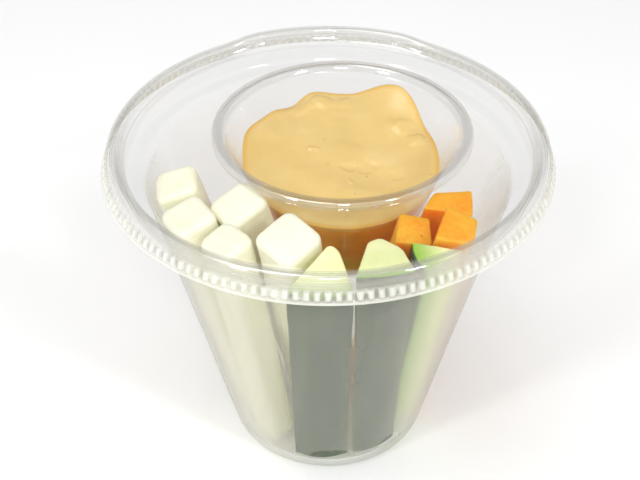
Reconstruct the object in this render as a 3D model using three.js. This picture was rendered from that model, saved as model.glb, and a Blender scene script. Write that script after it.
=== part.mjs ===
// Vegetable sticks with a dip in a clear lidded cup.
// Millimetres, +Z up. The cup stands on z = 0 with its axis on Z, and its front is at -Y.
import * as THREE from 'three';

// ---- driving dimensions --------------------------------------------------

const ROUND_SIDES = 60;      // facets round the cup and its lid
const SMALL_SIDES = 48;      // facets round the dip cup and the dip
const GAP = 0.3;             // clearance kept between touching pieces
const CORNER_STEPS = 3;      // facets round a stick's corner

const CUP = {
  footRadius: 28,            // outer wall, carried down to the table
  wallSlope: 0.2287,         // radius gained for each millimetre of height
  wall: 0.6,
  floorTop: 2.2,
  ledgeHeight: 87.6,         // top of the stacking ledge under the rim
  ledgeOuter: 52.0,
  rimRadius: 56.0,
  rimTop: 95.4,
};

const LID = {
  sheet: 0.4,
  panelTop: 94.0,
  panelRadius: 50.2,
  crownInner: 53.1,
  crownTop: 96.3,
  crownOuter: 56.6,
  skirtRadius: 58.5,
  skirtBottom: 89.6,
  liftHeight: 1.1,           // the back of the lid isn't pressed fully home
  liftHalfAngle: 27,         // degrees either side of the back
  liftBlend: 12,             // degrees over which it comes down again
};

const POT = {
  x: 3.8,
  y: 13.6,
  lipTop: 90.0,
  lipRadius: 35.2,
  lipDrop: 2.1,
  mouthRadius: 31.6,
  shoulderRadius: 27.5,
  shoulderHeight: 81.0,
  floorRadius: 18.0,
  floorHeight: 51.0,
  wall: 0.5,
};

const DIP = {
  level: 78.8,               // height of the surface over the dip cup's axis
  slope: 0.135,              // rise towards the back, each millimetre
  lean: 0.025,               // drop towards +X, each millimetre
  smears: [                  // where the edge stands higher or lower on the wall, in degrees
    { middle: 57, reach: 30, rise: 5.2 },
    { middle: 106, reach: 14, rise: 0.9 },
    { middle: 122, reach: 14, rise: -1.2 },
    { middle: 163, reach: 24, rise: 1.4 },
  ],
  crater: [7, -5],           // from the dip cup's axis
  craterRadius: 5,
  craterDepth: 0.9,
  swirlHeight: 0.3,
};

// ---- materials -----------------------------------------------------------

function plastic(color, opacity) {
  return new THREE.MeshStandardMaterial({
    color, opacity, transparent: true, roughness: 0.12, metalness: 0,
  });
}

function food(color, roughness) {
  return new THREE.MeshStandardMaterial({ color, roughness, metalness: 0 });
}

const MATERIALS = {
  cup: plastic(0xe3e2d2, 0.45),
  lid: plastic(0xf0efe8, 0.3),
  pot: plastic(0xf2f0ea, 0.3),
  dip: food(0xf1cf88, 0.35),
  daikon: food(0xfffbe9, 0.5),
  cucumber: food(0xdfeaa8, 0.45),
  carrot: food(0xf99c35, 0.5),
};

// ---- small helpers -------------------------------------------------------

const group = new THREE.Group();

function add(name, geometry, material) {
  const mesh = new THREE.Mesh(geometry, material);
  mesh.name = name;
  group.add(mesh);
  return mesh;
}

function points(pairs) {
  return pairs.map(([x, y]) => new THREE.Vector2(x, y));
}

// A body of revolution about Z. The outline runs from the axis round to the axis.
function turned(outline, sides) {
  const geometry = new THREE.LatheGeometry(points(outline), sides);
  geometry.rotateX(Math.PI / 2);
  return geometry;
}

function smoothStep(t) {
  const c = Math.min(Math.max(t, 0), 1);
  return c * c * (3 - 2 * c);
}

// ---- cup -----------------------------------------------------------------

function cupOuterRadius(z) {
  return CUP.footRadius + CUP.wallSlope * z;
}

function cupInnerRadius(z) {
  return cupOuterRadius(z) - CUP.wall;
}

function cupOutline() {
  const z = CUP.ledgeHeight;
  const shoulder = z - 1.4;
  const underside = CUP.floorTop - CUP.wall;
  const outside = [
    [0, underside],
    [22.6, underside],
    [24.0, 0],
    [26.4, 0],
    [27.9, 0.6],
    [cupOuterRadius(2.4), 2.4],
    [cupOuterRadius(shoulder), shoulder],
    [cupOuterRadius(shoulder) + 0.9, z - 0.6],
    [CUP.ledgeOuter + 0.2, z - 0.4],
    [CUP.ledgeOuter + 1.0, z + 0.6],
    [CUP.rimRadius - 1.5, 93.4],
    [CUP.rimRadius - 1.3, 94.3],
    [CUP.rimRadius - 0.6, 94.3],
    [CUP.rimRadius - 0.6, 92.9],
  ];
  const inside = [
    [CUP.rimRadius - 0.1, 92.9],
    [CUP.rimRadius, 94.4],
    [CUP.rimRadius - 1.0, CUP.rimTop],
    [CUP.rimRadius - 1.9, 94.9],
    [CUP.rimRadius - 2.1, 93.5],
    [CUP.ledgeOuter + 0.3, z + 0.8],
    [CUP.ledgeOuter - 0.4, z],
    [cupInnerRadius(shoulder) + 1.4, z],
    [cupInnerRadius(shoulder), shoulder],
    [cupInnerRadius(4), 4],
    [26.6, CUP.floorTop + 0.1],
    [0, CUP.floorTop],
  ];
  return [...outside, ...inside];
}

add('cup', turned(cupOutline(), ROUND_SIDES), MATERIALS.cup);

// ---- lid -----------------------------------------------------------------

function lidOutline() {
  const t = LID.sheet;
  const inner = LID.crownInner;
  const underside = [
    [0, LID.panelTop - t],
    [LID.panelRadius - 0.2, LID.panelTop - t],
    [inner - 1.2, LID.panelTop - 0.7 - t],
    [inner - 0.4, LID.panelTop - 0.7 - t],
    [inner + t, LID.panelTop - 0.3],
    [inner + 0.3 + t, 95.1],
    [54.0, 95.6],
    [54.9, LID.crownTop - t],
    [55.9, 95.5],
    [LID.crownOuter - t, 94.9],
    [LID.skirtRadius - 0.4 - t, 90.3],
    [LID.skirtRadius - t, LID.skirtBottom],
  ];
  const topside = [
    [LID.skirtRadius, LID.skirtBottom],
    [LID.skirtRadius - 0.4, 90.4],
    [LID.crownOuter, 95.0],
    [56.1, 95.9],
    [54.9, LID.crownTop],
    [53.8, 96.0],
    [inner + 0.3, 95.3],
    [inner, LID.panelTop],
    [inner - 0.6, LID.panelTop - 0.7],
    [inner - 1.1, LID.panelTop - 0.7],
    [LID.panelRadius, LID.panelTop],
    [0, LID.panelTop],
  ];
  return [...underside, ...topside];
}

// Raises the back of the lid's edge, where the snap rim isn't pressed home.
function liftBack(geometry) {
  const place = geometry.attributes.position;
  for (let i = 0; i < place.count; i += 1) {
    const x = place.getX(i);
    const y = place.getY(i);
    const fromBack = Math.abs(THREE.MathUtils.radToDeg(Math.atan2(x, y)));
    const across = 1 - smoothStep((fromBack - LID.liftHalfAngle) / LID.liftBlend + 0.5);
    const outwards = smoothStep((Math.hypot(x, y) - LID.panelRadius) / (LID.crownInner - LID.panelRadius));
    place.setZ(i, place.getZ(i) + LID.liftHeight * across * outwards);
  }
  return geometry;
}

add('lid', liftBack(turned(lidOutline(), ROUND_SIDES)), MATERIALS.lid);

// ---- dip cup -------------------------------------------------------------

function potInnerRadius(z) {
  const low = POT.floorHeight + 1.6;
  if (z < POT.shoulderHeight) {
    const t = (z - low) / (POT.shoulderHeight - low);
    return THREE.MathUtils.lerp(POT.floorRadius + 0.5, POT.shoulderRadius, t);
  }
  const t = (z - POT.shoulderHeight) / (POT.lipTop - 1 - POT.shoulderHeight);
  return THREE.MathUtils.lerp(POT.shoulderRadius, POT.mouthRadius, t);
}

function potOutline() {
  const top = POT.lipTop;
  const w = POT.wall;
  const low = POT.floorHeight;
  const outside = [
    [0, low],
    [POT.floorRadius - 1.0, low],
    [POT.floorRadius + 0.6, low + 0.9],
    [POT.shoulderRadius + w, POT.shoulderHeight],
    [POT.mouthRadius + w, top - 1.1],
    [POT.mouthRadius + 1.2, top - w],
    [POT.lipRadius - 0.9, top - w],
    [POT.lipRadius - 0.5, top - POT.lipDrop],
  ];
  const inside = [
    [POT.lipRadius, top - POT.lipDrop],
    [POT.lipRadius - 0.1, top - 0.5],
    [POT.lipRadius - 0.7, top],
    [POT.mouthRadius + 0.9, top],
    [potInnerRadius(top - 1), top - 1],
    [POT.shoulderRadius, POT.shoulderHeight],
    [potInnerRadius(low + 1.6), low + 1.6],
    [POT.floorRadius - 1.2, low + w],
    [0, low + w],
  ];
  return [...outside, ...inside];
}

const pot = add('dip_cup', turned(potOutline(), SMALL_SIDES), MATERIALS.pot);
pot.position.set(POT.x, POT.y, 0);

// ---- dip -----------------------------------------------------------------

function dipPlane(x, y) {
  return DIP.level + DIP.slope * y - DIP.lean * x;
}

// Height of the dip where it meets the wall, by direction.
function dipEdgeHeight(angle) {
  const radius = POT.shoulderRadius;
  const degrees = THREE.MathUtils.radToDeg(angle);
  let height = dipPlane(radius * Math.cos(angle), radius * Math.sin(angle));
  for (const { middle, reach, rise } of DIP.smears) {
    const away = Math.abs(THREE.MathUtils.euclideanModulo(degrees - middle + 180, 360) - 180);
    height += rise * (1 - smoothStep(away / reach));
  }
  return height;
}

function dipTopHeight(x, y, edge, fraction) {
  const plane = dipPlane(x, y);
  const swirl = DIP.swirlHeight * Math.sin(0.28 * x + 0.19 * y) * Math.cos(0.22 * y - 0.1 * x);
  const away = Math.hypot(x - DIP.crater[0], y - DIP.crater[1]) / DIP.craterRadius;
  const crater = DIP.craterDepth * Math.exp(-away * away);
  return THREE.MathUtils.lerp(plane + swirl - crater, edge, fraction ** 4);
}

// Rings of points: across the free surface from its middle, then down the wall to the floor.
function dipGeometry() {
  const fractions = [0.22, 0.45, 0.68, 0.86, 1];
  const bottom = POT.floorHeight + POT.wall + GAP;
  const wallShares = [1, 0.5, 0];
  const ring = (radiusAndHeight) => {
    const found = [];
    for (let i = 0; i < SMALL_SIDES; i += 1) {
      const angle = (2 * Math.PI * i) / SMALL_SIDES;
      const [radius, height] = radiusAndHeight(angle);
      found.push([radius * Math.cos(angle), radius * Math.sin(angle), height]);
    }
    return found;
  };
  const rings = fractions.map((fraction) => ring((angle) => {
    const edge = dipEdgeHeight(angle);
    const radius = fraction * (potInnerRadius(edge) - GAP);
    const height = dipTopHeight(radius * Math.cos(angle), radius * Math.sin(angle), edge, fraction);
    return [radius, height];
  }));
  for (const share of wallShares) {
    rings.push(ring((angle) => {
      const upper = Math.min(dipEdgeHeight(angle) - 0.5, POT.shoulderHeight);
      const height = THREE.MathUtils.lerp(bottom + 1.4, upper, share);
      return [potInnerRadius(height) - GAP, height];
    }));
  }
  rings.push(ring(() => [POT.floorRadius - 1.6, bottom]));
  const place = [0, 0, dipTopHeight(0, 0, DIP.level, 0)];
  for (const corner of rings.flat()) {
    place.push(...corner);
  }
  place.push(0, 0, bottom);
  const last = 1 + rings.length * SMALL_SIDES;
  const at = (row, i) => 1 + row * SMALL_SIDES + (i % SMALL_SIDES);
  const faces = [];
  for (let i = 0; i < SMALL_SIDES; i += 1) {
    faces.push(0, at(0, i), at(0, i + 1));
    faces.push(last, at(rings.length - 1, i + 1), at(rings.length - 1, i));
    for (let row = 0; row + 1 < rings.length; row += 1) {
      faces.push(at(row, i), at(row + 1, i), at(row + 1, i + 1));
      faces.push(at(row, i), at(row + 1, i + 1), at(row, i + 1));
    }
  }
  const geometry = new THREE.BufferGeometry();
  geometry.setAttribute('position', new THREE.Float32BufferAttribute(place, 3));
  geometry.setIndex(faces);
  return geometry;
}

const dip = add('dip', dipGeometry(), MATERIALS.dip);
dip.position.set(POT.x, POT.y, 0);

// ---- vegetable sticks ----------------------------------------------------

// Points round a closed outline with its corners rounded. `bulge` bows its first edge outwards.
function roundedOutline(corners, round, bulge = 0) {
  const list = points(corners);
  const count = list.length;
  const path = new THREE.Path();
  for (let i = 0; i < count; i += 1) {
    const corner = list[i];
    const before = list[(i + count - 1) % count].clone().sub(corner).setLength(round).add(corner);
    const after = list[(i + 1) % count].clone().sub(corner).setLength(round).add(corner);
    if (i === 0) {
      path.moveTo(before.x, before.y);
    } else if (i === 1 && bulge > 0) {
      const edge = corner.clone().sub(list[0]);
      const outward = new THREE.Vector2(edge.y, -edge.x).setLength(2 * bulge);
      const middle = list[0].clone().add(corner).multiplyScalar(0.5).add(outward);
      path.quadraticCurveTo(middle.x, middle.y, before.x, before.y);
    } else {
      path.lineTo(before.x, before.y);
    }
    path.quadraticCurveTo(corner.x, corner.y, after.x, after.y);
  }
  return path.getPoints(CORNER_STEPS);
}

// A closed bar over a convex outline, from -length to 0 along Z, with its end edges softened.
// Its section shrinks to `taper` and turns by `twist` degrees on the way down. The top face
// rises by `cut` for each millimetre along Y.
function softBar(outline, length, { soft, taper, twist = 0, cut = 0 }) {
  const edge = soft / Math.min(...outline.map((corner) => corner.length()));
  const ends = [[0, edge], [0.3 * soft, 0.3 * edge], [soft, 0]];
  const levels = [
    ...ends.map(([inset, shrink]) => [inset - length, 1 - shrink]),
    ...[0.66, 0.33].map((share) => [-length * share, 1]),
    ...ends.reverse().map(([inset, shrink]) => [-inset, 1 - shrink]),
  ];
  const count = outline.length;
  const place = [0, 0, -length];
  for (const [height, shrink] of levels) {
    const down = -height / length;
    const scale = shrink * THREE.MathUtils.lerp(1, taper, down);
    const turn = THREE.MathUtils.degToRad(twist * down);
    for (const corner of outline) {
      const moved = corner.clone().rotateAround(new THREE.Vector2(), turn).multiplyScalar(scale);
      place.push(moved.x, moved.y, height + cut * moved.y * (1 - down));
    }
  }
  place.push(0, 0, 0);
  const last = 1 + levels.length * count;
  const at = (row, i) => 1 + row * count + (i % count);
  const faces = [];
  for (let i = 0; i < count; i += 1) {
    faces.push(0, at(0, i + 1), at(0, i));
    faces.push(last, at(levels.length - 1, i), at(levels.length - 1, i + 1));
    for (let row = 0; row + 1 < levels.length; row += 1) {
      faces.push(at(row, i), at(row, i + 1), at(row + 1, i + 1));
      faces.push(at(row, i), at(row + 1, i + 1), at(row + 1, i));
    }
  }
  const geometry = new THREE.BufferGeometry();
  geometry.setAttribute('position', new THREE.Float32BufferAttribute(place, 3));
  geometry.setIndex(faces);
  return geometry;
}

// A stick cut square across both ends. Its axis runs from `foot`, just over the cup's floor,
// to `top`, and it ends where its lowest corner is clear of that floor.
// `section` gives the corners of its cross-section about the axis, anticlockwise.
function stick(name, material, { section, top, foot, turn = 0, round, bulge, ...form }) {
  const upper = new THREE.Vector3(...top);
  const lower = new THREE.Vector3(foot[0], foot[1], CUP.floorTop + 2);
  const along = upper.clone().sub(lower).normalize();
  const lean = new THREE.Quaternion().setFromUnitVectors(new THREE.Vector3(0, 0, 1), along);
  const spin = new THREE.Quaternion().setFromAxisAngle(along, THREE.MathUtils.degToRad(turn));
  const pose = spin.multiply(lean);
  const outline = roundedOutline(section, round, bulge);
  const footPose = pose.clone().multiply(new THREE.Quaternion().setFromAxisAngle(
    new THREE.Vector3(0, 0, 1), THREE.MathUtils.degToRad(form.twist ?? 0),
  ));
  const heights = outline.map(({ x, y }) => (
    new THREE.Vector3(x, y, 0).multiplyScalar(form.taper).applyQuaternion(footPose).z));
  const lowest = CUP.floorTop + GAP - Math.min(...heights);
  const length = (upper.z - lowest) / along.z;
  const mesh = add(name, softBar(outline, length, form), material);
  mesh.quaternion.copy(pose);
  mesh.position.copy(upper);
  return mesh;
}

function oblong(width, depth) {
  const w = width / 2;
  const d = depth / 2;
  return [[-w, -d], [w, -d], [w, d], [-w, d]];
}

const DAIKON = [
  { top: [-39.7, -4.8, 85.0], foot: [-18.5, 9.0], section: oblong(11.2, 11.4), turn: 8 },
  { top: [-35.2, -19.4, 85.3], foot: [-20.6, -3.8], section: oblong(11.4, 11.8), turn: 32 },
  { top: [-23.0, -15.1, 85.6], foot: [-6.2, 10.6], section: oblong(12.6, 11.2), turn: 38 },
  { top: [-25.1, -28.5, 84.6], foot: [-15.4, -15.1], section: oblong(10.4, 10.8), turn: 44 },
  { top: [-9.7, -30.3, 86.8], foot: [-4.0, -3.5], section: oblong(12.6, 12.8), turn: 44 },
];

DAIKON.forEach((one, index) => {
  const form = { round: 3.0, soft: 1.3, taper: 0.84 };
  stick(`daikon_${index + 1}`, MATERIALS.daikon, { ...one, ...form });
});

const CARROTS = [
  {
    top: [21.6, -23.0, 84.0], foot: [7.4, 3.5], turn: -4,
    section: [[-4.7, -5.3], [4.5, -4.4], [3.5, 3.7], [-4.1, 3.7]],
  },
  {
    top: [31.0, -15.0, 86.0], foot: [17.5, 12.0],
    section: [[-7.4, -2.9], [5.6, -3.6], [5.6, 4.4], [-4.4, 2.3]],
  },
  {
    top: [31.3, -25.2, 87.0], foot: [17.4, 1.8],
    section: [[-5.3, -5.2], [4.3, -5.6], [5.6, 1.8], [-2.0, 5.2]],
  },
];

CARROTS.forEach((one, index) => {
  const form = { round: 1.0, soft: 0.5, taper: 0.88 };
  stick(`carrot_${index + 1}`, MATERIALS.carrot, { ...one, ...form });
});

// Wedges cut along a cucumber. The first edge is the skin, and the core is opposite.
const CUCUMBERS = [
  {
    top: [-1.6, -38.0, 82.0], foot: [-1.6, -20.5], cut: 0.3,
    section: [[-9.0, -5.2], [8.1, -5.4], [4.2, 5.9], [1.8, 7.4]],
  },
  {
    top: [14.0, -37.4, 85.6], foot: [12.3, -17.0], twist: 15, cut: -0.25, bulge: 1.0,
    section: [[-7.9, -7.0], [6.8, -4.4], [3.6, 4.8], [-1.4, 8.6], [-4.4, 6.8]],
  },
  {
    top: [26.7, -33.1, 83.5], foot: [20.6, -9.8], bulge: 1.2,
    section: [[-6.9, 3.6], [-3.3, -5.2], [6.6, 1.8]],
  },
];

CUCUMBERS.forEach((one, index) => {
  const form = { round: 1.4, soft: 0.6, taper: 0.92, bulge: 1.5 };
  stick(`cucumber_${index + 1}`, MATERIALS.cucumber, { ...form, ...one });
});

export default group;
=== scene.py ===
"""Looks for vegetable sticks with a dip in a clear lidded cup.

The cup stands on z = 0 with its axis on Z and its front at -Y. Shapes are worked out in
millimetres, as the solids are, and every mesh is made in metres.
"""
import math

import bpy
import numpy as np
from mathutils import Matrix, Quaternion, Vector, noise


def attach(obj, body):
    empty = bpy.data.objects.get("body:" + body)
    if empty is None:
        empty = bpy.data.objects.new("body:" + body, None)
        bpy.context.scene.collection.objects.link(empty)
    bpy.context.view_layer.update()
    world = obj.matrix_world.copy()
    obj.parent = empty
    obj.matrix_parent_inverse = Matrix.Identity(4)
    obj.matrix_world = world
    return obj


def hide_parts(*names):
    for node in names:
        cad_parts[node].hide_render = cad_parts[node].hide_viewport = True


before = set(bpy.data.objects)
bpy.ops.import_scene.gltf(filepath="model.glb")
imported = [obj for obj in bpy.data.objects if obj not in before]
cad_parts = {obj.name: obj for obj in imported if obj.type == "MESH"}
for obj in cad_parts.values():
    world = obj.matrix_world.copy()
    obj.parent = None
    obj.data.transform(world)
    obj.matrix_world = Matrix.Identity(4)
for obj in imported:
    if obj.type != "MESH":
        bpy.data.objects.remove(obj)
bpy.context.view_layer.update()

NOISE_SEED = 7
noise.seed_set(NOISE_SEED)     # unseeded, noise_vector differs from run to run

# ---- dimensions, in millimetres --------------------------------------------------------

MM = 0.001
GAP = 0.3                      # clearance between the solids
ROUND_SIDES = 480              # facets round the cup, the lid and the dip cup

CUP = dict(foot_radius=28, wall_slope=0.2287, wall=0.6, floor_top=2.2, ledge_height=87.6,
           ledge_outer=52.0, rim_radius=56.0, rim_top=95.4)
LID = dict(sheet=0.4, panel_top=94.0, panel_radius=50.2, crown_inner=53.1, crown_top=96.3,
           crown_outer=56.6, skirt_radius=58.5, skirt_bottom=89.6,
           lift_height=1.1, lift_half_angle=27, lift_blend=12)
SKIRT_INNER = LID["crown_inner"] + 2.5
RIBS = dict(count=150, depth=0.45, low=90.3, high=93.6, fade=0.5, facets=10)
# heights of the ribbed band and of the hem that carry the skirt's painted highlights and painted
# shade
RIB_PAINTED_LIGHT = dict(low=90.5, low_fade=0.5, high=92.6, high_fade=0.9, hem=90.2, hem_fade=0.4,
                 hem_share=0.8)
POT = dict(                    # the dip cup
    x=3.8, y=13.6, lip_top=90.0, lip_radius=35.2, lip_drop=2.1, mouth_radius=31.6,
    mouth_drop=1, shoulder_radius=27.5, shoulder_height=81.0, base_height=1.6, base_flare=0.5,
    floor_radius=18.0, floor_height=51.0, wall=0.5)
DIP = dict(level=78.8, slope=0.135, lean=0.025, crater=(7, -5), crater_radius=5,
           crater_depth=0.9, swirl_height=0.3, ripple=0.16, into_wall=0.12, deep=20.0)
DIP_SIDES = 360
DIP_RINGS = 130                # rings across the dip's top
DIP_MARKS = [                  # x, y, radius and rise of peaks and dents, from the dip cup's axis
    (6.5, -1.7, 2.4, -0.55), (1.3, -2.3, 1.3, -0.5), (2.1, -7.8, 0.9, 0.35),
    (14.6, -5.1, 1.8, -0.3), (-11.9, 21.0, 2.6, 0.8), (-5.6, 23.6, 2.4, 0.9),
    (1.1, 24.0, 2.0, 0.6), (16.4, 13.4, 2.4, 0.8), (20.6, 8.6, 2.0, 0.7), (-8.5, 4.2, 1.0, 0.4),
]
MARK_WARP = dict(size=2.4, amount=1.3, squeeze=0.75)
SMEARS = [                     # middle and reach in degrees, and rise, of the dip on its wall
    (57, 30, 5.2), (106, 14, 0.9), (122, 14, -1.2), (163, 24, 1.4),
]
FOG = dict(                    # the share of haze, and where on the wall it changes
    thin=0.22, thick=0.31, more=0.20, left=(-15, -10), right=(13, 24), back=(2, 14),
    back_share=0.35, top=(70, 84), top_share=0.55)
PRESSED_SPOTS = [              # x, z, half width and half height of clear spots on the front wall
    (0.5, 5.9, 6.0, 3.3), (17.4, 6.0, 3.0, 3.2),
]
UNEVEN = [(0.18, 9.0), (0.05, 2.2)]  # amount and scale of the sticks' unevenness
WALL_REACH = 2.5               # near the wall a stick is smooth, as it is pressed to it
WALL_EASE = 0.3

# ---- camera and stage, from the fit to the photograph ----------------------------------

PHOTO_WIDTH = 640              # pixels
CAMERA = dict(distance=0.2549, height=0.2656, pitch=38.664, yaw=-0.5, roll=-0.276,
              focal_pixels=1190.57, sensor=36.0)      # metres, degrees and millimetres
FLAG_EDGE = (0.72, 0.88)       # cosines between which the sky darkens towards the dark flag


# ---- meshes ----------------------------------------------------------------------------

def new_piece(name, points, faces, materials, nodes):
    """A shown piece on the one body, made from points in millimetres."""
    mesh = bpy.data.meshes.new(name)
    mesh.from_pydata((np.asarray(points) * MM).tolist(), [], faces)
    mesh.validate()
    for material in materials:
        mesh.materials.append(material)
    mesh.shade_smooth()
    piece = bpy.data.objects.new(name, mesh)
    bpy.context.scene.collection.objects.link(piece)
    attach(piece, "root")
    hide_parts(*nodes)
    return piece


def add_mark(piece, name, values):
    """A number for each point of the piece, which its material reads by name."""
    piece.data.attributes.new(name, "FLOAT", "POINT").data.foreach_set("value", values)


def closed_grid(rows, first, last):
    """Points and faces of a closed body: rings of points from one pole to the other."""
    count, around = rows.shape[:2]
    points = np.vstack([first, rows.reshape(-1, 3), last])
    end = len(points) - 1
    here = np.arange(around)
    after = (here + 1) % around
    faces = [(0, 1 + b, 1 + a) for a, b in zip(here.tolist(), after.tolist())]
    for row in range(count - 1):
        low = 1 + row * around
        high = low + around
        faces += list(zip((low + here).tolist(), (low + after).tolist(),
                          (high + after).tolist(), (high + here).tolist()))
    top = 1 + (count - 1) * around
    faces += [(end, top + a, top + b) for a, b in zip(here.tolist(), after.tolist())]
    return points, faces


def rounded(outline, radius, steps=5):
    """An open outline with its inner corners rounded."""
    points = [np.array(p, float) for p in outline]
    path = [points[0]]
    for before, corner, after in zip(points, points[1:], points[2:]):
        reach = [min(radius, 0.45 * np.linalg.norm(side - corner)) for side in (before, after)]
        start = corner + (before - corner) * reach[0] / np.linalg.norm(before - corner)
        stop = corner + (after - corner) * reach[1] / np.linalg.norm(after - corner)
        for share in np.linspace(0, 1, steps):
            path.append((1 - share) ** 2 * start + 2 * share * (1 - share) * corner
                        + share ** 2 * stop)
    path.append(points[-1])
    return np.array(path)


def refined(outline, longest):
    """The same outline with no step longer than the given length."""
    path = [outline[0]]
    for start, stop in zip(outline, outline[1:]):
        cuts = max(1, math.ceil(np.linalg.norm(stop - start) / longest))
        path += [start + (stop - start) * k / cuts for k in range(1, cuts + 1)]
    return np.array(path)


def turned(outline, sides, reshape=None):
    """Points and faces of a body turned about Z. The outline runs from axis to axis."""
    angle = np.linspace(0, 2 * np.pi, sides, endpoint=False)
    radius = outline[1:-1, 0][:, None]
    height = np.broadcast_to(outline[1:-1, 1][:, None], (len(outline) - 2, sides))
    rows = np.stack([radius * np.cos(angle), radius * np.sin(angle), height], -1)
    if reshape:
        rows = reshape(rows)
    return closed_grid(rows, (0, 0, outline[0, 1]), (0, 0, outline[-1, 1]))


def smooth_step(t):
    t = np.clip(t, 0, 1)
    return t * t * (3 - 2 * t)


def paint_faces(piece, choose):
    """Gives each face the material that choose(centres, normals) names, by index."""
    mesh = piece.data
    count = len(mesh.polygons)
    centres = np.empty(count * 3)
    normals = np.empty(count * 3)
    mesh.polygons.foreach_get("center", centres)
    mesh.polygons.foreach_get("normal", normals)
    index = choose(centres.reshape(-1, 3) / MM, normals.reshape(-1, 3))
    mesh.polygons.foreach_set("material_index", index.astype(np.int32))


# ---- shader nodes ----------------------------------------------------------------------

class Shader:
    """One material, with short calls that add nodes to it."""

    def __init__(self, name):
        self.material = bpy.data.materials.new(name)
        self.material.use_nodes = True
        self.tree = self.material.node_tree
        self.tree.nodes.clear()
        self.output = self.add("ShaderNodeOutputMaterial")

    def add(self, kind, inputs=None, **settings):
        node = self.tree.nodes.new(kind)
        for key, value in settings.items():
            setattr(node, key, value)
        for key, value in (inputs or {}).items():
            self.feed(node.inputs[key], value)
        return node

    def feed(self, socket, value):
        if isinstance(value, bpy.types.NodeSocket):
            self.tree.links.new(value, socket)
        elif socket.type == "RGBA" and len(value) == 3:
            socket.default_value = (*value, 1)
        else:
            socket.default_value = value

    def place(self):
        return self.add("ShaderNodeTexCoord").outputs["Object"]

    def local(self, name):
        return self.add("ShaderNodeAttribute", attribute_name=name).outputs["Vector"]

    def measure(self, name):
        return self.add("ShaderNodeAttribute", attribute_name=name).outputs["Fac"]

    def stretched(self, vector, scale):
        return self.add("ShaderNodeMapping", {"Vector": vector, "Scale": scale}).outputs[0]

    def noise(self, vector, scale, detail, roughness=0.5):
        return self.add("ShaderNodeTexNoise", {
            "Vector": vector, "Scale": scale, "Detail": detail,
            "Roughness": roughness}).outputs["Fac"]

    def cells(self, vector, scale):
        return self.add("ShaderNodeTexVoronoi", {
            "Vector": vector, "Scale": scale}).outputs["Distance"]

    def math(self, operation, *values, clamp=False):
        node = self.add("ShaderNodeMath", operation=operation, use_clamp=clamp)
        for socket, value in zip(node.inputs, values):
            self.feed(socket, value)
        return node.outputs[0]

    def spread(self, value, low, high, to_low=0.0, to_high=1.0):
        return self.add("ShaderNodeMapRange", {
            "Value": value, "From Min": low, "From Max": high,
            "To Min": to_low, "To Max": to_high}, interpolation_type="SMOOTHSTEP").outputs[0]

    def ramp(self, value, stops):
        node = self.add("ShaderNodeValToRGB", {"Fac": value})
        elements = node.color_ramp.elements
        while len(elements) < len(stops):
            elements.new(1.0)
        for element, (position, color) in zip(elements, stops):
            element.position = position
            element.color = (*color, 1)
        return node.outputs["Color"]

    def average(self, a, b, share):
        """A mix of two numbers, with the given share of the second."""
        kept = self.math("MULTIPLY", a, round(1 - share, 3))
        return self.math("MULTIPLY_ADD", b, share, kept)

    def mix(self, factor, a, b):
        """A colour between a and b."""
        node = self.add("ShaderNodeMix", data_type="RGBA", blend_type="MIX")
        self.feed(node.inputs[0], factor)
        self.feed(node.inputs[6], a)
        self.feed(node.inputs[7], b)
        return node.outputs[2]

    def bump(self, height, distance, strength=1.0):
        return self.add("ShaderNodeBump", {
            "Height": height, "Distance": distance * MM, "Strength": strength}).outputs[0]

    def principled(self, **inputs):
        named = {key.replace("_", " "): value for key, value in inputs.items()}
        return self.add("ShaderNodeBsdfPrincipled", named).outputs[0]

    def blend(self, factor, a, b):
        node = self.add("ShaderNodeMixShader")
        self.feed(node.inputs[0], factor)
        self.tree.links.new(a, node.inputs[1])
        self.tree.links.new(b, node.inputs[2])
        return node.outputs[0]

    def finish(self, surface):
        self.tree.links.new(surface, self.output.inputs["Surface"])
        return self.material

    def film(self, normal, haze, milky, milky_edge, sheen, rough):
        """Thin plastic, seen through face on and milkier and shinier at a glancing angle.

        milky is the share of haze face on and milky_edge what an edge adds to it; sheen is the
        share of gloss face on.
        """
        facing = {"Blend": 0.5, "Normal": normal}
        slant = self.add("ShaderNodeLayerWeight", facing).outputs["Facing"]
        glance = self.math("POWER", slant, 6.0)
        rising = self.math("MULTIPLY", glance, milky_edge)
        share = self.math("ADD", milky, rising, clamp=True)
        sheen = self.math("MULTIPLY_ADD", self.math("POWER", slant, 5.0), 0.6, sheen)
        clear = self.add("ShaderNodeBsdfTransparent").outputs[0]
        front = self.add("ShaderNodeBsdfDiffuse", {"Color": haze, "Normal": normal}).outputs[0]
        behind = self.add("ShaderNodeBsdfTranslucent", {"Color": haze}).outputs[0]
        gloss = self.add("ShaderNodeBsdfGlossy", {
            "Roughness": rough, "Normal": normal}).outputs[0]
        hazy = self.blend(share, clear, self.blend(0.4, front, behind))
        return self.blend(sheen, hazy, gloss)


# ---- materials -------------------------------------------------------------------------

def clear_plastic(name, haze, milky, milky_edge, sheen):
    """Plain clear plastic with a slight waviness."""
    s = Shader(name)
    wave = s.bump(s.noise(s.place(), 55, 2), 0.35, 0.4)
    return s.finish(s.film(wave, haze, milky, milky_edge, sheen, 0.07))


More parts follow.
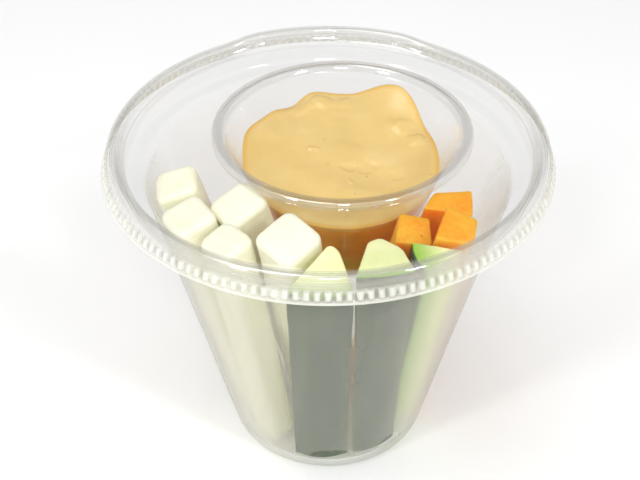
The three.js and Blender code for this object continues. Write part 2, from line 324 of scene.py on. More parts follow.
def ribbed_plastic_painted_light(name):
    """The lid's skirt, with painted light on its pressed ribs: a painted white highlight along each
    ridge and along the hem, and painted dark grey-green shade in each groove.
    """
    s = Shader(name)
    place = s.place()
    band = s.measure("band")
    groove = s.measure("groove")
    # where the painted groove shade goes, interrupted at random
    gaps = s.spread(s.noise(place, 240, 2), 0.35, 0.6, 0.40, 1.0)
    painted_groove_shade = s.math("MULTIPLY", groove, gaps)
    # painted light: white highlight on the ridges and the hem, through pale grey-green, to dark
    # grey-green shade deep in the grooves
    tone = s.ramp(painted_groove_shade, [(0.0, (1.0, 1.0, 0.97)), (0.45, (0.84, 0.85, 0.77)),
                           (0.9, (0.46, 0.48, 0.40))])
    color = s.mix(band, (0.74, 0.72, 0.60), tone)
    # a larger share of the painted colour on the ridges and the hem than in the grooves
    ridge = s.spread(painted_groove_shade, 0.15, 0.7, 0.52, 0.20)
    milky = s.math("ADD", s.math("MULTIPLY", band, ridge), 0.10)
    wave = s.bump(s.noise(place, 300, 2), 0.12, 0.5)
    return s.finish(s.film(wave, color, milky, 0.35, 0.04, 0.12))


def fogged_plastic(name):
    """The cup's inner wall, clouded by condensation except where food is pressed to it."""
    s = Shader(name)
    place = s.place()
    parts = s.add("ShaderNodeSeparateXYZ", {"Vector": place})
    x, y, z = (parts.outputs[axis] for axis in "XYZ")

    def between(coordinate, span, low, high):
        start, stop = (end * MM for end in span)
        return s.spread(coordinate, start, stop, low, high)

    patches = s.noise(s.stretched(place, (1, 1, 0.4)), 38, 2, 0.5)
    streaks = s.noise(s.stretched(place, (1, 1, 0.04)), 150, 1, 0.4)
    patchy = s.spread(s.mix(0.35, patches, streaks), 0.25, 0.75, FOG["thin"], FOG["thick"])
    left = between(x, FOG["left"], FOG["more"], 0.0)
    right = between(x, FOG["right"], 0.0, FOG["more"])
    cloud = s.math("ADD", patchy, s.math("ADD", left, right))
    cloud = s.math("MULTIPLY", cloud, between(y, FOG["back"], 1.0, FOG["back_share"]))
    cloud = s.math("MULTIPLY", cloud, between(z, FOG["top"], 1.0, FOG["top_share"]))
    ragged = s.noise(place, 350, 2)
    at_back = s.math("GREATER_THAN", y, 0.0)
    for spot_x, spot_z, half_width, half_height in PRESSED_SPOTS:
        across = s.math("DIVIDE", s.math("SUBTRACT", x, spot_x * MM), half_width * MM)
        up = s.math("DIVIDE", s.math("SUBTRACT", z, spot_z * MM), half_height * MM)
        away = s.math("MULTIPLY_ADD", across, across, s.math("MULTIPLY", up, up))
        ragged_away = s.math("MULTIPLY_ADD", ragged, 0.4, s.math("SQRT", away))
        edge = s.spread(ragged_away, 1.0, 1.3)
        cloud = s.math("MULTIPLY", cloud, s.math("MAXIMUM", edge, at_back))
    smooth = s.add("ShaderNodeNewGeometry").outputs["Normal"]
    return s.finish(s.film(smooth, (0.81, 0.79, 0.69), cloud, 0.4, 0.01, 0.3))


def dip_cream(name):
    """The dip: pale on top, with painted shade in deep orange-brown on its sides, seen through the
    dip cup's wall, yellower and greener lower down.
    """
    s = Shader(name)
    place = s.place()
    below = s.measure("below")
    cloud = s.noise(place, 90, 4, 0.6)
    top = s.ramp(cloud, [(0.3, (0.77, 0.55, 0.20)), (0.6, (0.82, 0.60, 0.24)),
                         (0.8, (0.86, 0.65, 0.29))])
    specks = s.spread(s.cells(place, 330), 0.02, 0.14, 1.0, 0.0)
    rare = s.spread(s.noise(place, 210, 1), 0.56, 0.64)
    spotted = s.mix(s.math("MULTIPLY", specks, rare), top, (0.62, 0.22, 0.05))
    shore = s.mix(s.spread(below, -1.8, -0.2), spotted, (0.78, 0.47, 0.11))
    height = s.add("ShaderNodeSeparateXYZ", {"Vector": place}).outputs["Z"]
    # painted shade on the dip's sides below its edge: deep orange-brown, yellower and greener
    # towards the bottom, and deepening with depth below the edge
    cloudy = s.noise(s.stretched(place, (1, 1, 2.5)), 120, 3)
    painted_shade_amber = s.ramp(cloudy, [(0.3, (0.72, 0.28, 0.008)), (0.7, (0.86, 0.38, 0.015))])
    painted_shade_olive = s.ramp(cloudy, [(0.3, (0.60, 0.42, 0.04)), (0.7, (0.70, 0.50, 0.06))])
    deep = s.mix(s.spread(height, 58 * MM, 64 * MM), painted_shade_olive, painted_shade_amber)
    side = s.mix(s.spread(below, 0.6, 2.2), (0.80, 0.50, 0.13), deep)
    color = s.mix(s.spread(below, 0.1, 0.5), shore, side)
    relief = s.bump(s.noise(place, 320, 3, 0.6), 0.10, 0.6)
    return s.finish(s.principled(
        Base_Color=color, Roughness=s.spread(cloud, 0.3, 0.7, 0.14, 0.26), IOR=1.5,
        Subsurface_Weight=0.25, Subsurface_Radius=(1.0, 0.6, 0.25), Subsurface_Scale=0.0025,
        Normal=relief))


def daikon_flesh(name):
    """White flesh with faint fibres along the stick."""
    s = Shader(name)
    grain = s.local("grain")
    fibres = s.noise(s.stretched(grain, (1, 1, 0.12)), 900, 3, 0.6)
    cloud = s.noise(grain, 120, 3, 0.55)
    color = s.ramp(s.average(cloud, fibres, 0.45), [
        (0.3, (0.91, 0.88, 0.66)), (0.5, (0.935, 0.91, 0.72)), (0.75, (0.96, 0.94, 0.78))])
    pores = s.noise(grain, 1500, 2)
    relief = s.bump(s.math("MULTIPLY_ADD", pores, 0.5, fibres), 0.10, 0.7)
    return s.finish(s.principled(
        Base_Color=color, Roughness=s.spread(cloud, 0.3, 0.7, 0.30, 0.48), IOR=1.38,
        Subsurface_Weight=0.45, Subsurface_Radius=(1.0, 0.92, 0.7), Subsurface_Scale=0.004,
        Normal=relief))


def carrot_flesh(name):
    """Orange flesh with fibres along the stick, small knobs and a few darker pits."""
    s = Shader(name)
    grain = s.local("grain")
    fibres = s.noise(s.stretched(grain, (1, 1, 0.1)), 800, 3, 0.6)
    cloud = s.noise(grain, 160, 3, 0.55)
    color = s.ramp(s.average(cloud, fibres, 0.4), [
        (0.3, (0.95, 0.31, 0.012)), (0.5, (0.97, 0.39, 0.022)), (0.72, (0.98, 0.50, 0.045))])
    pits = s.spread(s.cells(grain, 520), 0.08, 0.26, 1.0, 0.0)
    few = s.math("MULTIPLY", pits, s.spread(s.noise(grain, 300, 1), 0.5, 0.62))
    pitted = s.mix(few, color, (0.80, 0.19, 0.006))
    knobs = s.noise(grain, 330, 2, 0.5)
    relief = s.bump(s.math("SUBTRACT", s.math("ADD", fibres, knobs), few), 0.28, 0.7)
    return s.finish(s.principled(
        Base_Color=pitted, Roughness=s.spread(cloud, 0.3, 0.7, 0.30, 0.5), IOR=1.38,
        Subsurface_Weight=0.85, Subsurface_Radius=(1.0, 0.16, 0.03), Subsurface_Scale=0.009,
        Normal=relief))


def cucumber_flesh(name):
    """Flesh and skin, by the depth under the skin."""
    s = Shader(name)
    grain = s.local("grain")
    rind = s.measure("rind")
    core = s.measure("core")
    cloud = s.noise(grain, 150, 3, 0.55)
    fibres = s.noise(s.stretched(grain, (1, 1, 0.15)), 700, 3, 0.6)
    flesh = s.ramp(s.average(cloud, fibres, 0.4), [
        (0.3, (0.76, 0.82, 0.38)), (0.55, (0.84, 0.88, 0.47)), (0.75, (0.88, 0.91, 0.56))])
    green = s.spread(rind, 0.7, 4.0, 1.0, 0.0)
    outer = s.mix(green, flesh, (0.30, 0.52, 0.06))
    seeds = s.math("MULTIPLY", core, s.spread(cloud, 0.35, 0.65))
    seedy = s.mix(seeds, outer, (0.88, 0.89, 0.50))
    stripes = s.noise(s.stretched(grain, (1, 1, 0.05)), 420, 3, 0.6)
    skin = s.ramp(stripes, [(0.3, (0.014, 0.036, 0.010)), (0.55, (0.026, 0.060, 0.016)),
                            (0.8, (0.055, 0.10, 0.026))])
    is_skin = s.spread(rind, 0.5, 0.9, 1.0, 0.0)
    color = s.mix(is_skin, seedy, skin)
    pores = s.noise(grain, 1600, 2)
    relief = s.bump(s.math("MULTIPLY_ADD", pores, 0.4, fibres), 0.10, 0.6)
    return s.finish(s.principled(
        Base_Color=color, Roughness=s.spread(is_skin, 0.0, 1.0, 0.32, 0.26), IOR=1.38,
        Subsurface_Weight=0.35, Subsurface_Radius=(0.8, 1.0, 0.4), Subsurface_Scale=0.003,
        Normal=relief))


def pale_floor(name):
    s = Shader(name)
    tone = s.ramp(s.noise(s.place(), 6, 2), [
        (0.3, (0.91, 0.91, 0.91)), (0.7, (0.93, 0.93, 0.93))])
    return s.finish(s.principled(Base_Color=tone, Roughness=0.9, Specular_IOR_Level=0.1))


CLEAR_CUP = clear_plastic("clear_cup", (0.66, 0.65, 0.57), milky=0.02, milky_edge=0.6,
                          sheen=0.035)
FOGGED_CUP = fogged_plastic("fogged_cup")
CLEAR_LID = clear_plastic("clear_lid", (0.64, 0.63, 0.57), milky=0.003, milky_edge=0.6,
                          sheen=0.03)
CLEAR_CROWN = clear_plastic("clear_crown", (0.68, 0.67, 0.57), milky=0.06, milky_edge=0.5,
                            sheen=0.12)
# the lid's skirt, with painted highlights on its ribs and hem and painted shade in its grooves
RIBBED_LID_PAINTED_LIGHT = ribbed_plastic_painted_light("ribbed_lid_painted_light")
CLEAR_POT = clear_plastic("clear_pot", (0.84, 0.80, 0.66), milky=0.006, milky_edge=0.30,
                          sheen=0.035)
CLEAR_LIP = clear_plastic("clear_lip", (0.84, 0.80, 0.66), milky=0.03, milky_edge=0.40,
                          sheen=0.20)
DIP_CREAM = dip_cream("dip_cream")
DAIKON_FLESH = daikon_flesh("daikon_flesh")
CARROT_FLESH = carrot_flesh("carrot_flesh")
CUCUMBER_FLESH = cucumber_flesh("cucumber_flesh")
PALE_FLOOR = pale_floor("pale_floor")


# ---- cup -------------------------------------------------------------------------------

def cup_outer_radius(z):
    return CUP["foot_radius"] + CUP["wall_slope"] * z


def cup_outline():
    z = CUP["ledge_height"]
    shoulder = z - 1.4
    wall = CUP["wall"]
    rim = CUP["rim_radius"]
    ledge = CUP["ledge_outer"]
    underside = CUP["floor_top"] - wall
    outside = [
        (0, underside), (22.6, underside), (24.0, 0), (26.4, 0), (27.9, 0.6),
        (cup_outer_radius(2.4), 2.4), (cup_outer_radius(shoulder), shoulder),
        (cup_outer_radius(shoulder) + 0.9, z - 0.6), (ledge + 0.2, z - 0.4),
        (ledge + 1.0, z + 0.6), (rim - 1.5, 93.4), (rim - 1.3, 94.3), (rim - 0.6, 94.3),
        (rim - 0.6, 92.9),
    ]
    inside = [
        (rim - 0.1, 92.9), (rim, 94.4), (rim - 1.0, CUP["rim_top"]), (rim - 1.9, 94.9),
        (rim - 2.1, 93.5), (ledge + 0.3, z + 0.8), (ledge - 0.4, z),
        (cup_outer_radius(shoulder) - wall + 1.4, z), (cup_outer_radius(shoulder) - wall, shoulder),
        (cup_outer_radius(4) - wall, 4), (26.6, CUP["floor_top"] + 0.1), (0, CUP["floor_top"]),
    ]
    return outside + inside


def fogged_part(centres, normals):
    """1 on the inner wall below the ledge, where water has condensed, and 0 elsewhere."""
    height = centres[:, 2]
    inward = (centres[:, :2] * normals[:, :2]).sum(1) < 0
    return inward & (height > CUP["floor_top"] + 1) & (height < CUP["ledge_height"] - 2)


cup_points, cup_faces = turned(refined(rounded(cup_outline(), 0.7), 3.0), ROUND_SIDES)
cup = new_piece("cup_shell", cup_points, cup_faces, [CLEAR_CUP, FOGGED_CUP],
                ["cup"])
paint_faces(cup, fogged_part)


# ---- lid -------------------------------------------------------------------------------

def lid_outline():
    t = LID["sheet"]
    panel = LID["panel_radius"]
    top = LID["panel_top"]
    inner = LID["crown_inner"]
    crown = LID["crown_outer"]
    skirt = LID["skirt_radius"]
    bottom = LID["skirt_bottom"]
    peak = LID["crown_top"]
    underside = [
        (0, top - t), (panel - 0.2, top - t), (inner - 1.2, top - 0.7 - t),
        (inner - 0.4, top - 0.7 - t), (inner + t, top - 0.3), (inner + 0.3 + t, 95.1),
        (54.0, 95.6), (54.9, peak - t), (55.9, 95.5), (crown - t, 94.9),
        (skirt - 0.4 - t, 90.3), (skirt - t, bottom),
    ]
    topside = [
        (skirt, bottom), (skirt - 0.4, 90.4), (crown, 95.0), (56.1, 95.9), (54.9, peak),
        (53.8, 96.0), (inner + 0.3, 95.3), (inner, top), (inner - 0.6, top - 0.7),
        (inner - 1.1, top - 0.7), (panel, top), (0, top),
    ]
    return underside + topside


def ribbed_and_lifted(rows):
    """Presses the grip ribs into the skirt, and raises the back of the lid's edge."""
    x, y, z = rows[..., 0], rows[..., 1], rows[..., 2]
    radius = np.hypot(x, y)
    angle = np.arctan2(y, x)
    fade = RIBS["fade"]
    band = (smooth_step((z - RIBS["low"]) / fade + 0.5)
            * smooth_step((RIBS["high"] - z) / fade + 0.5) * (radius > SKIRT_INNER))
    groove = (0.5 + 0.5 * np.cos(RIBS["count"] * angle)) ** 1.5
    shrink = 1 - RIBS["depth"] * band * groove / np.maximum(radius, 1)
    from_back = np.abs(np.degrees(np.arctan2(x, y)))
    across = 1 - smooth_step((from_back - LID["lift_half_angle"]) / LID["lift_blend"] + 0.5)
    slope_width = LID["crown_inner"] - LID["panel_radius"]
    outwards = smooth_step((radius - LID["panel_radius"]) / slope_width)
    return np.stack([x * shrink, y * shrink, z + LID["lift_height"] * across * outwards], -1)


def rib_marks(points):
    """How far each point is in the ribbed band or hem, and how deep in a groove: where the skirt's
    painted highlights and painted shade go.
    """
    x, y, z = points.T
    looks = RIB_PAINTED_LIGHT
    hem = smooth_step((looks["hem"] - z) / looks["hem_fade"] + 0.5)
    band = (smooth_step((z - looks["low"]) / looks["low_fade"] + 0.5)
            * smooth_step((looks["high"] - z) / looks["high_fade"] + 0.5))
    groove = (0.5 + 0.5 * np.cos(RIBS["count"] * np.arctan2(y, x))) * band
    return np.maximum(band, looks["hem_share"] * hem), groove


def lid_part(centres, normals):
    """2 on the lid's skirt, 1 on its crown and 0 on its panel."""
    radius = np.hypot(centres[:, 0], centres[:, 1])
    skirt = (radius > SKIRT_INNER) & (centres[:, 2] < LID["crown_top"] - 0.9)
    return np.where(skirt, 2, radius > LID["crown_inner"] - 0.8)


LID_SIDES = RIBS["count"] * RIBS["facets"]
lid_points, lid_faces = turned(
    refined(rounded(lid_outline(), 0.4), 1.0), LID_SIDES, ribbed_and_lifted)
lid = new_piece("lid_shell", lid_points, lid_faces, [CLEAR_LID, CLEAR_CROWN, RIBBED_LID_PAINTED_LIGHT],
                ["lid"])
paint_faces(lid, lid_part)
# the marks that place the skirt's painted highlights and painted shade
for mark, values in zip(("band", "groove"), rib_marks(lid_points)):
    add_mark(lid, mark, values)


# ---- dip cup and dip -------------------------------------------------------------------

def pot_inner_radius(z):
    """Radius of the dip cup's inner wall, steeper below its shoulder than above it."""
    low = POT["floor_height"] + POT["base_height"]
    middle = POT["shoulder_height"]
    high = POT["lip_top"] - POT["mouth_drop"]
    base = POT["floor_radius"] + POT["base_flare"]
    shoulder = POT["shoulder_radius"]
    lower = base + (z - low) / (middle - low) * (shoulder - base)
    upper = shoulder + (z - middle) / (high - middle) * (POT["mouth_radius"] - shoulder)
    return np.where(z < middle, lower, upper)


def pot_outline():
    top = POT["lip_top"]
    w = POT["wall"]
    low = POT["floor_height"]
    floor = POT["floor_radius"]
    mouth = POT["mouth_radius"]
    mouth_height = top - POT["mouth_drop"]
    shoulder = (POT["shoulder_radius"], POT["shoulder_height"])
    base = low + POT["base_height"]
    lip = POT["lip_radius"]
    hem = top - POT["lip_drop"]
    return [
        (0, low), (floor - 1.0, low), (floor + 0.6, low + 0.9), (shoulder[0] + w, shoulder[1]),
        (mouth + w, top - 1.1), (mouth + 1.2, top - w), (lip - 0.9, top - w), (lip - 0.5, hem),
        (lip, hem), (lip - 0.1, top - 0.5), (lip - 0.7, top), (mouth + 0.9, top),
        (float(pot_inner_radius(mouth_height)), mouth_height), shoulder,
        (float(pot_inner_radius(base)), base), (floor - 1.2, low + w), (0, low + w),
    ]


def moved_to_pot(points):
    return np.asarray(points, float) + (POT["x"], POT["y"], 0)


pot_points, pot_faces = turned(refined(rounded(pot_outline(), 0.8), 2.0), ROUND_SIDES)
pot = new_piece("dip_cup_shell", moved_to_pot(pot_points), pot_faces, [CLEAR_POT, CLEAR_LIP],
                ["dip_cup"])
paint_faces(pot, lambda centres, normals: centres[:, 2] > POT["lip_top"] - POT["lip_drop"])


def dip_plane(x, y):
    return DIP["level"] + DIP["slope"] * y - DIP["lean"] * x


def dip_edge_height(angle):
    """Height of the dip where it meets the wall, by direction."""
    radius = POT["shoulder_radius"]
    height = dip_plane(radius * np.cos(angle), radius * np.sin(angle))
    for middle, reach, rise in SMEARS:
        away = np.abs((np.degrees(angle) - middle + 180) % 360 - 180)
        height = height + rise * (1 - smooth_step(away / reach))
    return height


def dip_top_height(x, y, edge, fraction):
    plane = dip_plane(x, y)
    swirl = DIP["swirl_height"] * np.sin(0.28 * x + 0.19 * y) * np.cos(0.22 * y - 0.1 * x)
    away = np.hypot(x - DIP["crater"][0], y - DIP["crater"][1]) / DIP["crater_radius"]
    crater = DIP["crater_depth"] * np.exp(-away * away)
    share = fraction ** 4
    return (plane + swirl - crater) * (1 - share) + edge * share


def spooned(x, y):
    """Height of the soft ripples, peaks and dents that a spoon leaves, in millimetres."""
    height = DIP["ripple"] * noise.noise(Vector((x / 6.0, y / 4.0, 0.3)))
    size = MARK_WARP["size"]
    warp = noise.noise_vector(Vector((x / size, y / size, 1.7))) * MARK_WARP["amount"]
    for mark_x, mark_y, radius, rise in DIP_MARKS:
        across = (x + warp.x - mark_x) * MARK_WARP["squeeze"]
        away = math.hypot(across, y + warp.y - mark_y) / radius
        height += rise * math.exp(-away ** 3)
    return height


def dip_surface():
    """Points and faces of the dip, and how far below its edge each point lies."""
    angle = np.linspace(0, 2 * np.pi, DIP_SIDES, endpoint=False)
    edge = dip_edge_height(angle)
    bottom = POT["floor_height"] + POT["wall"] - DIP["into_wall"]
    base = bottom + POT["base_height"]
    rows = []
    below = []

    def ring(radius, height, depth):
        height = np.broadcast_to(height, angle.shape)
        rows.append(np.stack([radius * np.cos(angle), radius * np.sin(angle), height], -1))
        below.append(np.broadcast_to(depth, angle.shape))

    for radius in np.linspace(2, POT["floor_radius"] - 1.4, 8):
        ring(radius, bottom, DIP["deep"])
    for share in np.linspace(0, 1, 40):
        height = base + share * (edge - 0.3 - base)
        ring(pot_inner_radius(height) + DIP["into_wall"], height, edge - height)
    rim = pot_inner_radius(edge) + DIP["into_wall"]
    for fraction in np.linspace(1, 0.012, DIP_RINGS):
        radius = fraction * rim
        x, y = radius * np.cos(angle), radius * np.sin(angle)
        relief = np.array([spooned(*place) for place in zip(x, y)])
        inward = smooth_step((1 - fraction) * 12)
        ring(radius, dip_top_height(x, y, edge, fraction) + relief * inward, radius - rim)
    middle = (0, 0, float(rows[-1][:, 2].mean()))
    points, faces = closed_grid(np.array(rows), (0, 0, bottom), middle)
    return points, faces, np.concatenate([[DIP["deep"]], np.concatenate(below), [-rim.mean()]])


dip_points, dip_faces, dip_depth = dip_surface()
dip = new_piece("dip_fill", moved_to_pot(dip_points), dip_faces, [DIP_CREAM], ["dip"])
add_mark(dip, "below", dip_depth)


# ---- vegetable sticks ------------------------------------------------------------------

def oblong(width, depth):
    w, d = width / 2, depth / 2
    return [(-w, -d), (w, -d), (w, d), (-w, d)]


# A stick's outline is its section with rounded corners (round) and a bowed first edge (bulge).
# Its ends are softened (soft), it tapers, turns and twists (degrees) towards its foot, and its
# top is cut at a slope (cut). It keeps clear of the wall, and rind_reach spreads the green.
STICK_FORM = dict(turn=0, twist=0, cut=0, bulge=0.0, clear=0.05, rind_reach=1.0)
DAIKON_FORM = dict(round=3.0, soft=1.8, taper=0.84)
DAIKON = [
    dict(top=(-39.7, -4.8, 85.0), foot=(-18.5, 9.0), section=oblong(11.2, 11.4), turn=8),
    dict(top=(-35.2, -19.4, 85.3), foot=(-20.6, -3.8), section=oblong(11.4, 11.8), turn=32),
    dict(top=(-23.0, -15.1, 85.6), foot=(-6.2, 10.6), section=oblong(12.6, 11.2), turn=38),
    dict(top=(-25.1, -28.5, 84.6), foot=(-15.4, -15.1), section=oblong(10.4, 10.8), turn=44),
    dict(top=(-9.7, -30.3, 86.8), foot=(-4.0, -3.5), section=oblong(12.6, 12.8), turn=44),
]
CARROT_FORM = dict(round=1.0, soft=0.5, taper=0.88)
CARROTS = [
    dict(top=(21.6, -23.0, 84.0), foot=(7.4, 3.5), turn=-4,
         section=[(-4.7, -5.3), (4.5, -4.4), (3.5, 3.7), (-4.1, 3.7)]),
    dict(top=(31.0, -15.0, 86.0), foot=(17.5, 12.0),
         section=[(-7.4, -2.9), (5.6, -3.6), (5.6, 4.4), (-4.4, 2.3)]),
    dict(top=(31.3, -25.2, 87.0), foot=(17.4, 1.8),
         section=[(-5.3, -5.2), (4.3, -5.6), (5.6, 1.8), (-2.0, 5.2)]),
]
CUCUMBER_FORM = dict(round=1.4, soft=0.6, taper=0.92, bulge=1.5)
CUCUMBERS = [                  # the first edge of each section is the skin
    dict(top=(-1.6, -38.0, 82.0), foot=(-1.6, -20.5), cut=0.3,
         section=[(-9.0, -5.2), (8.1, -5.4), (4.2, 5.9), (1.8, 7.4)]),
    dict(top=(14.0, -37.4, 85.6), foot=(12.3, -17.0), twist=15, cut=-0.25, bulge=1.0,
         clear=0.3,
         section=[(-7.9, -7.0), (6.8, -4.4), (3.6, 4.8), (-1.4, 8.6), (-4.4, 6.8)]),
    dict(top=(26.7, -33.1, 83.5), foot=(20.6, -9.8), bulge=1.2, rind_reach=2.6,
         section=[(-6.9, 3.6), (-3.3, -5.2), (6.6, 1.8)]),
]
STICK_SIDES = 120
STICK_STATIONS = 120


def section_outline(section, round, bulge):
    """A closed outline with rounded corners, in even steps. Its first edge bows outwards."""
    corners = [np.array(corner, float) for corner in section]
    count = len(corners)

    def towards(corner, other):
        return corner + (other - corner) * round / np.linalg.norm(other - corner)

    def bent(start, middle, stop, steps):
        share = np.linspace(0, 1, steps, endpoint=False)[:, None]
        return (1 - share) ** 2 * start + 2 * share * (1 - share) * middle + share ** 2 * stop

    path = []
    for index, corner in enumerate(corners):
        after = corners[(index + 1) % count]
        start = towards(corner, corners[index - 1])
        leave = towards(corner, after)
        arrive = towards(after, corner)
        path.append(bent(start, corner, leave, 16))
        middle = (leave + arrive) / 2
        if index == 0:
            edge = after - corner
            middle = middle + np.array([edge[1], -edge[0]]) / np.linalg.norm(edge) * 2 * bulge
        path.append(bent(leave, middle, arrive, 40))
    path = np.vstack(path)
    closed = np.vstack([path, path[:1]])
    travel = np.concatenate([[0], np.cumsum(np.linalg.norm(np.diff(closed, axis=0), axis=1))])
    wanted = np.linspace(0, travel[-1], STICK_SIDES, endpoint=False)
    return np.stack([np.interp(wanted, travel, closed[:, k]) for k in (0, 1)], -1)


def rind_depth(points, section, bulge):
    """Depth under the bowed first edge of the section."""
    start, stop = (np.array(corner, float) for corner in section[:2])
    edge = stop - start
    width = np.linalg.norm(edge)
    along = ((points - start) @ edge) / width ** 2
    inward = ((points - start) @ np.array([-edge[1], edge[0]])) / width
    return inward + 4 * bulge * along * (1 - along)


def stick_pose(settings, outline):
    """Rotation, top point and length of a stick that stands just clear of the cup's floor."""
    taper = settings["taper"]
    upper = Vector(settings["top"])
    lower = Vector((*settings["foot"], CUP["floor_top"] + 2))
    along = (upper - lower).normalized()
    spin = Quaternion(along, math.radians(settings["turn"]))
    pose = (spin @ Vector((0, 0, 1)).rotation_difference(along)).to_matrix()
    foot_pose = pose @ Matrix.Rotation(math.radians(settings["twist"]), 3, "Z")
    heights = [(foot_pose @ Vector((x * taper, y * taper, 0))).z for x, y in outline]
    lowest = CUP["floor_top"] + GAP - min(heights)
    return np.array(pose), np.array(upper), (upper.z - lowest) / along.z


def uneven(points, amount, scale, seed):
    """Points moved by a smooth noise, as a hand-cut surface is."""
    shift = Vector((seed * 17.3, seed * 5.1, seed * 9.7))
    moves = [noise.noise_vector(Vector(p) / scale + shift) for p in points]
    return points + amount * np.array(moves)


def room_to_wall(points, clear):
    """How far inside the cup's inner wall, less a clearance, each point is."""
    radius = np.hypot(points[:, 0], points[:, 1])
    return cup_outer_radius(points[:, 2]) - CUP["wall"] - clear - radius


def inside_cup(points, clear):
    """Points with those that would reach into the cup's wall eased back to just clear of it."""
    radius = np.hypot(points[:, 0], points[:, 1])
    room = room_to_wall(points, clear)
    eased = 0.5 * (room + np.sqrt(room ** 2 + WALL_EASE ** 2))
    share = 1 + (room - eased) / np.maximum(radius, 1)
    return np.column_stack([points[:, 0] * share, points[:, 1] * share, points[:, 2]])


def stick_stations(outline, soft, length):
    """Distance below the top and share of the outline of each ring, from the foot upwards."""
    edge = soft / np.linalg.norm(outline, axis=1).min()
    end = [(0.0, share) for share in np.linspace(0.03, 1, 16)[:-1] * (1 - edge)]
    end += [(soft * t, 1 - edge * (1 - math.sqrt(1 - (1 - t) ** 2)))
            for t in np.linspace(0, 1, 8)]
    middle = [(inset, 1.0) for inset in np.linspace(soft, length - soft, STICK_STATIONS)[1:-1]]
    foot = [(length - inset, share) for inset, share in end]
    return foot + middle[::-1] + end[::-1]


def stick_body(outline, settings, length):
    """Points and faces of a stick that hangs from its top, and each point's rind depth."""
    section = settings["section"]
    bulge = settings["bulge"]
    rows = []
    depths = []
    for inset, share in stick_stations(outline, settings["soft"], length):
        down = inset / length
        turn = math.radians(settings["twist"] * down)
        flat = outline * share
        rotated = flat @ np.array([[math.cos(turn), math.sin(turn)],
                                   [-math.sin(turn), math.cos(turn)]])
        scaled = rotated * (1 + (settings["taper"] - 1) * down)
        height = -inset + settings["cut"] * scaled[:, 1] * (1 - down)
        rows.append(np.column_stack([scaled, height]))
        depths.append(rind_depth(flat, section, bulge))
    points, faces = closed_grid(np.array(rows), (0, 0, -length), (0, 0, 0))
    pole_depth = rind_depth(np.zeros((1, 2)), section, bulge)
    return points, faces, np.concatenate([pole_depth, *depths, pole_depth])


def make_stick(name, settings, material, seed):
    outline = section_outline(settings["section"], settings["round"], settings["bulge"])
    pose, upper, length = stick_pose(settings, outline)
    points, faces, depth = stick_body(outline, settings, length)
    rough = points
    for step, (amount, scale) in enumerate(UNEVEN):
        rough = uneven(rough, amount, scale, seed + 40 * step)
    clear = settings["clear"]
    room = room_to_wall(points @ pose.T + upper, clear)
    loose = smooth_step(room / WALL_REACH)[:, None]
    placed = inside_cup((points + (rough - points) * loose) @ pose.T + upper, clear)
    piece = new_piece(name, placed, faces, [material], [name.replace("stick_", "")])
    piece.data.attributes.new("grain", "FLOAT_VECTOR", "POINT").data.foreach_set(
        "vector", ((points + seed * 31.0) * MM).ravel())
    add_mark(piece, "rind", np.where(depth < 1, depth, 1 + (depth - 1) / settings["rind_reach"]))
    add_mark(piece, "core", smooth_step((depth / depth.max() - 0.55) / 0.3))


seed = 0
for kind, ones, form, material in (
        ("daikon", DAIKON, DAIKON_FORM, DAIKON_FLESH),
        ("carrot", CARROTS, CARROT_FORM, CARROT_FLESH),
        ("cucumber", CUCUMBERS, CUCUMBER_FORM, CUCUMBER_FLESH)):
    for index, one in enumerate(ones):
        seed += 1
        make_stick(f"stick_{kind}_{index + 1}", {**STICK_FORM, **form, **one}, material,
                   seed)


# ---- stage, lights and camera ----------------------------------------------------------

def make_floor(half=3.0):
    mesh = bpy.data.meshes.new("floor")
    mesh.from_pydata([(-half, -half, 0), (half, -half, 0), (half, half, 0), (-half, half, 0)],
                     [], [(0, 1, 2, 3)])
    mesh.materials.append(PALE_FLOOR)
    floor = bpy.data.objects.new("floor", mesh)
    bpy.context.scene.collection.objects.link(floor)


def soft_light(name, place, target, size, power):
    data = bpy.data.lights.new(name, "AREA")
    data.shape = "RECTANGLE"
    data.size, data.size_y = size
    data.energy = power
    light = bpy.data.objects.new(name, data)
    light.location = place
    light.rotation_euler = (Vector(target) - Vector(place)).to_track_quat("-Z", "Y").to_euler()
    bpy.context.scene.collection.objects.link(light)


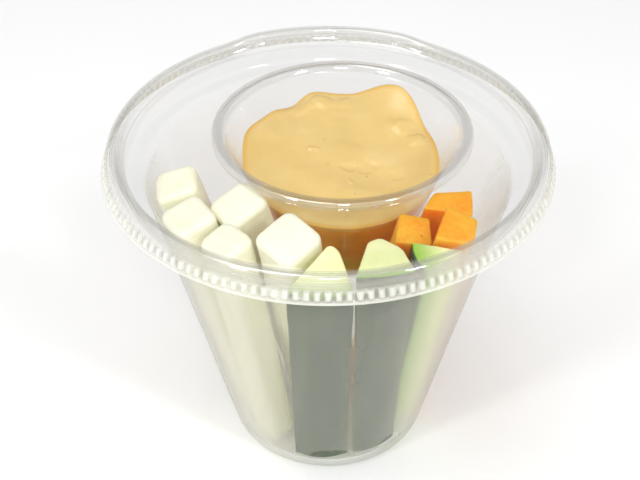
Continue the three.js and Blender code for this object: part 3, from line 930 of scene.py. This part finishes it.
def make_sky(strength, pale, dark, flag):
    """A pale studio with one dark flag in the direction given."""
    world = bpy.data.worlds.new("sky")
    world.use_nodes = True
    tree = world.node_tree
    background = tree.nodes["Background"]
    direction = tree.nodes.new("ShaderNodeTexCoord").outputs["Generated"]
    towards = tree.nodes.new("ShaderNodeVectorMath")
    towards.operation = "DOT_PRODUCT"
    towards.inputs[1].default_value = Vector(flag).normalized()
    ramp = tree.nodes.new("ShaderNodeValToRGB")
    ramp.color_ramp.interpolation = "EASE"
    for element, position, tone in zip(ramp.color_ramp.elements, FLAG_EDGE, (pale, dark)):
        element.position = position
        element.color = (tone, tone, tone, 1)
    tree.links.new(direction, towards.inputs[0])
    tree.links.new(towards.outputs["Value"], ramp.inputs[0])
    tree.links.new(ramp.outputs[0], background.inputs["Color"])
    background.inputs["Strength"].default_value = strength
    bpy.context.scene.world = world


def make_camera():
    pitch, yaw, roll = (math.radians(CAMERA[key]) for key in ("pitch", "yaw", "roll"))
    forward = Vector((math.sin(yaw) * math.cos(pitch), math.cos(yaw) * math.cos(pitch),
                      -math.sin(pitch)))
    level = Vector((math.cos(yaw), -math.sin(yaw), 0))
    upright = level.cross(forward)
    right = math.cos(roll) * level + math.sin(roll) * upright
    up = math.cos(roll) * upright - math.sin(roll) * level
    data = bpy.data.cameras.new("camera")
    data.sensor_width = CAMERA["sensor"]
    data.lens = CAMERA["sensor"] * CAMERA["focal_pixels"] / PHOTO_WIDTH
    data.clip_start = 0.01
    camera = bpy.data.objects.new("camera", data)
    camera.matrix_world = Matrix.Translation((0, -CAMERA["distance"], CAMERA["height"])) @ Matrix(
        (right, up, -forward)).transposed().to_4x4()
    bpy.context.scene.collection.objects.link(camera)
    bpy.context.scene.camera = camera


make_floor()
make_sky(strength=0.84, pale=1.0, dark=0.15, flag=(0, 0.78, 0.62))
near_top = (0, 0, 0.08)
soft_light("light_above", (-0.25, -0.05, 1.0), near_top, (0.4, 0.4), 1.7)
soft_light("light_front", (0.02, -0.75, 0.80), near_top, (0.16, 0.10), 2.1)
soft_light("light_right", (0.55, -0.55, 0.70), near_top, (0.12, 0.12), 2.1)
soft_light("light_left", (-0.55, -0.55, 0.70), near_top, (0.12, 0.12), 1.9)
make_camera()

scene = bpy.context.scene
scene.view_settings.view_transform = "Standard"
scene.cycles.max_bounces = 12
scene.cycles.transparent_max_bounces = 24
